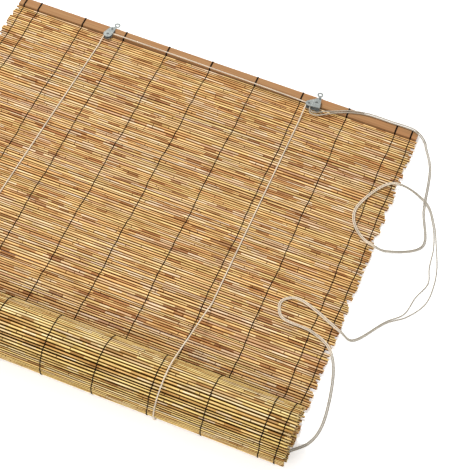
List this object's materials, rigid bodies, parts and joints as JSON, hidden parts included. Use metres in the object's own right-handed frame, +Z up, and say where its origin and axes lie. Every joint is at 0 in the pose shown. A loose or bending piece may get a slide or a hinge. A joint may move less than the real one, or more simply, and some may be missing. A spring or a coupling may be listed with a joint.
{
  "type": "reed roll-up blind",
  "caption": "Window blind of golden reeds twined with dark threads on a flat head rail, half rolled up and laid flat, with a pulley, a cord lock and cotton lift cords.",
  "frame": {"origin": "on the ground under the middle of the blind's box, with the free pull cords left out", "axes": "+X along the head rail from the pulley to the cord lock, +Y from the roll towards the head rail, +Z up from the ground, out of the blind's front"},
  "size_m": [1.0429, 0.8672, 0.1236],
  "materials": {
    "batten": "planed bamboo batten, thin clear lacquer",
    "reed": "natural dry reed with brown streaks and a slight shine",
    "thread": "dark brown twisted twine",
    "zinc_sheet": "dull galvanised sheet",
    "steel": "zinc-plated steel",
    "cotton_cord": "natural twisted cotton"
  },
  "bodies": {
    "root": {"head_rail": "batten", "reed_mat": "reed", "warp_thread_1": "thread", "warp_thread_2": "thread", "warp_thread_3": "thread", "warp_thread_4": "thread", "warp_thread_5": "thread", "warp_thread_6": "thread", "warp_thread_7": "thread", "warp_thread_8": "thread", "warp_thread_9": "thread", "warp_thread_10": "thread", "warp_thread_11": "thread", "pulley_back_plate": "zinc_sheet", "pulley_front_plate": "zinc_sheet", "pulley_rivet": "steel", "lock_back_plate": "zinc_sheet", "lock_front_plate": "zinc_sheet", "lock_rivet": "steel", "pawl_rivet": "steel", "fixing_screws": "steel", "left_front_cord": "cotton_cord", "right_front_cord": "cotton_cord", "top_run_cord": "cotton_cord", "left_back_cord": "cotton_cord", "right_back_cord": "cotton_cord", "upper_pull_lead": "cotton_cord", "lower_pull_lead": "cotton_cord", "upper_pull_tail": "cotton_cord", "lower_pull_tail": "cotton_cord", "pull_knot": "cotton_cord"},
    "carriage": {"left_bight": "cotton_cord", "right_bight": "cotton_cord"},
    "roll": {"mat_roll": "reed", "bottom_bar": "batten", "roll_threads": "thread"},
    "pulley_turner": {"pulley_wheel": "steel"},
    "lock_turner": {"lock_wheel": "steel"},
    "pawl": {"lock_pawl": "steel"}
  },
  "joints": [
    {"name": "roll_up", "type": "slide", "parent": "root", "child": "carriage", "axis": [0, 1, 0], "range_m": [0, 0.66], "deforming": ["reed_mat", "warp_thread_1", "warp_thread_2", "warp_thread_3", "warp_thread_4", "warp_thread_5", "warp_thread_6", "warp_thread_7", "warp_thread_8", "warp_thread_9", "warp_thread_10", "warp_thread_11", "left_front_cord", "right_front_cord", "left_back_cord", "right_back_cord", "upper_pull_tail", "lower_pull_tail", "pull_knot"]},
    {"name": "roll_turn", "type": "hinge", "parent": "carriage", "child": "roll", "pos_m": [0, -0.37185, 0.0618], "axis": [1, 0, 0], "range_deg": [-680, 0]},
    {"name": "pulley_spin", "type": "hinge", "parent": "root", "child": "pulley_turner", "pos_m": [-0.2395, 0.39215, 0.0148], "axis": [0, 0, 1], "range_deg": [-11640, 0]},
    {"name": "lock_spin", "type": "hinge", "parent": "root", "child": "lock_turner", "pos_m": [0.2166, 0.38815, 0.0167], "axis": [0, 0, 1], "range_deg": [-16450, 0]},
    {"name": "pawl_release", "type": "hinge", "parent": "root", "child": "pawl", "pos_m": [0.2305, 0.39615, 0.0167], "axis": [0, 0, 1], "range_deg": [0, 25]}
  ],
  "couplings": [
    {"joint": "roll_turn", "follows": "roll_up", "rad_per_m": -17.825},
    {"joint": "pulley_spin", "follows": "roll_up", "rad_per_m": -307.69},
    {"joint": "lock_spin", "follows": "roll_up", "rad_per_m": -434.78}
  ]
}
